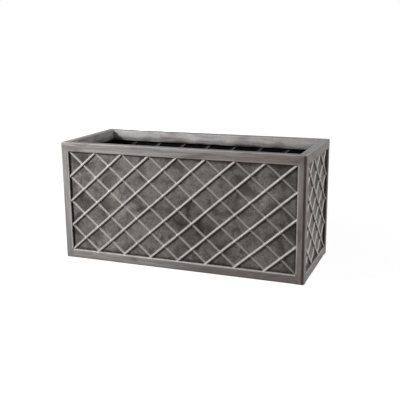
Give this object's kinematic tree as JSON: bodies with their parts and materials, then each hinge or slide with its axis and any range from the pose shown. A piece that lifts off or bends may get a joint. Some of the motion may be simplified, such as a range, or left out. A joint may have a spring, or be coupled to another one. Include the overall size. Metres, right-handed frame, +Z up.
{
  "type": "trough planter",
  "caption": "Long rectangular floor planter with a recessed diamond-lattice panel in each side, a flat rim with an inner lip, and a drained floor for compost and plants",
  "frame": {"origin": "centre of the base, on the ground", "axes": "+X along the trough's length to the right seen from the front, +Y from the front to the back, +Z up"},
  "size_m": [0.7, 0.291, 0.335],
  "materials": {
    "brushed_pewter_frame": "moulded resin with a hand-brushed pewter paint, streaked along each member and lighter on worn edges",
    "aged_pewter_panel": "moulded resin sheet with a mottled, darkened pewter wash, black inside",
    "brushed_pewter_lattice": "pewter paint rubbed bright along the crest of each bar",
    "black_resin": "plain black moulded resin",
    "zinc_screw": "zinc-plated steel"
  },
  "bodies": {
    "root": {"back_backing_strips": "black_resin", "back_bottom_rail": "brushed_pewter_frame", "back_lattice_bosses": "brushed_pewter_lattice", "back_left_corner_key": "black_resin", "back_left_post": "brushed_pewter_frame", "back_over_bars": "brushed_pewter_lattice", "back_panel": "aged_pewter_panel", "back_right_corner_key": "black_resin", "back_right_post": "brushed_pewter_frame", "back_top_rail": "brushed_pewter_frame", "back_under_bars": "brushed_pewter_lattice", "floor": "black_resin", "floor_bearer_1": "black_resin", "floor_bearer_2": "black_resin", "floor_bearer_3": "black_resin", "floor_screws": "zinc_screw", "front_backing_strips": "black_resin", "front_bottom_rail": "brushed_pewter_frame", "front_lattice_bosses": "brushed_pewter_lattice", "front_left_corner_key": "black_resin", "front_left_post": "brushed_pewter_frame", "front_over_bars": "brushed_pewter_lattice", "front_panel": "aged_pewter_panel", "front_right_corner_key": "black_resin", "front_right_post": "brushed_pewter_frame", "front_top_rail": "brushed_pewter_frame", "front_under_bars": "brushed_pewter_lattice", "left_backing_strips": "black_resin", "left_bottom_rail": "brushed_pewter_frame", "left_lattice_bosses": "brushed_pewter_lattice", "left_over_bars": "brushed_pewter_lattice", "left_panel": "aged_pewter_panel", "left_top_rail": "brushed_pewter_frame", "left_under_bars": "brushed_pewter_lattice", "right_backing_strips": "black_resin", "right_bottom_rail": "brushed_pewter_frame", "right_lattice_bosses": "brushed_pewter_lattice", "right_over_bars": "brushed_pewter_lattice", "right_panel": "aged_pewter_panel", "right_top_rail": "brushed_pewter_frame", "right_under_bars": "brushed_pewter_lattice"}
  },
  "joints": []
}
